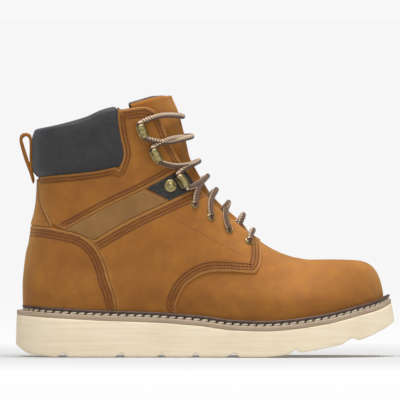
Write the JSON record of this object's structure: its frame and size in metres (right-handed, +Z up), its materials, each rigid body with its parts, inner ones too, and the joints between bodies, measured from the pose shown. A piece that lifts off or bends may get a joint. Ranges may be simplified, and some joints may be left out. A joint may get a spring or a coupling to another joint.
{
  "type": "wedge sole work boot",
  "caption": "Right lace-up ankle work boot with a cut wedge sole, welt, padded collar, tongue, eyelets and lace hooks.",
  "frame": {"origin": "on the ground under the middle of the sole's box", "axes": "+X to the toe, +Z up, +Y to the inner side of the foot"},
  "size_m": [0.303, 0.1138, 0.2115],
  "materials": {
    "leather": "wheat nubuck, matt with a fine nap",
    "strip_leather": "smoother olive tan leather",
    "padding": "charcoal padded cloth",
    "outsole": "matt cream wedge",
    "midsole": "matt taupe",
    "welt": "dark brown, satin",
    "insole": "plain tan",
    "brass": "antique, satin",
    "lace": "round woven lace, brown with cream flecks"
  },
  "bodies": {
    "root": {"ankle_strip_lateral": "strip_leather", "ankle_strip_medial": "strip_leather", "back_stay": "leather", "collar_pad": "padding", "eyelet_lateral_1": "brass", "eyelet_lateral_2": "brass", "eyelet_lateral_3": "brass", "eyelet_lateral_4": "brass", "eyelet_medial_1": "brass", "eyelet_medial_2": "brass", "eyelet_medial_3": "brass", "eyelet_medial_4": "brass", "heel_counter": "leather", "hook_lateral_1": "brass", "hook_lateral_2": "brass", "hook_lateral_3": "brass", "hook_medial_1": "brass", "hook_medial_2": "brass", "hook_medial_3": "brass", "insole": "insole", "lace_1": "lace", "lace_2": "lace", "lace_3": "lace", "lace_4": "lace", "lace_5": "lace", "lace_6": "lace", "lace_7": "lace", "lace_8": "lace", "midsole": "midsole", "outsole": "outsole", "pull_loop": "leather", "quarter_lateral": "leather", "quarter_medial": "leather", "rivet_lateral": "brass", "rivet_medial": "brass", "shaft_panel_lateral": "leather", "shaft_panel_medial": "leather", "tongue": "leather", "upper": "leather", "welt": "welt"}
  },
  "joints": []
}
